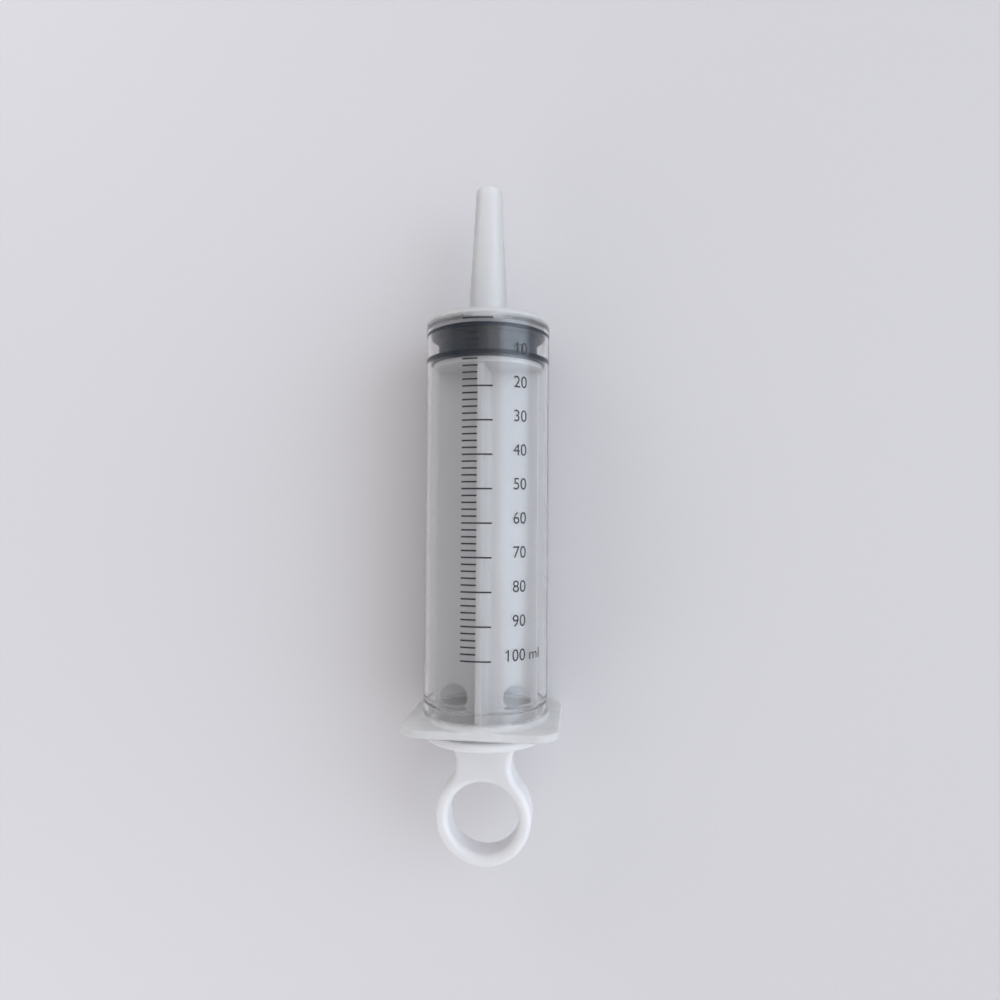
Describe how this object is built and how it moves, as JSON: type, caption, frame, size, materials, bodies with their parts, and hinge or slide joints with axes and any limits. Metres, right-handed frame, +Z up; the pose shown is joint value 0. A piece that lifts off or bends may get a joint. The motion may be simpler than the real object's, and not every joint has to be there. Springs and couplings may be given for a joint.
{
  "type": "irrigation syringe",
  "caption": "Irrigation syringe with a tapered catheter nozzle, a flat finger flange with rounded corners, a rubber stopper with two lips and a plunger rod that ends in a thumb ring.",
  "frame": {"origin": "middle of the flange rim, on the flat that the syringe lies on", "axes": "+Y along the barrel from the flange towards the nozzle, +Z up from the table, +X to the right"},
  "size_m": [0.0464, 0.2089, 0.04],
  "materials": {
    "barrel_plastic": "clear to slightly milky moulded polypropylene, glossy",
    "rod_plastic": "milky translucent moulded polypropylene, satin",
    "stopper_rubber": "blue-black moulded rubber with a thin film of silicone",
    "scale_ink": "black printing ink on the barrel, satin"
  },
  "bodies": {
    "barrel": {"barrel": "barrel_plastic"},
    "stopper": {"stopper": "stopper_rubber"},
    "plunger_rod": {"plunger_rod": "rod_plastic"}
  },
  "joints": [
    {"name": "plunger_slide", "type": "slide", "parent": "barrel", "child": "stopper", "axis": [0, -1, 0], "range_m": [-0.0006, 0.1006]},
    {"name": "rod_turn", "type": "hinge", "parent": "stopper", "child": "plunger_rod", "pos_m": [0, 0.11, 0.02], "axis": [0, 1, 0], "continuous": true}
  ]
}
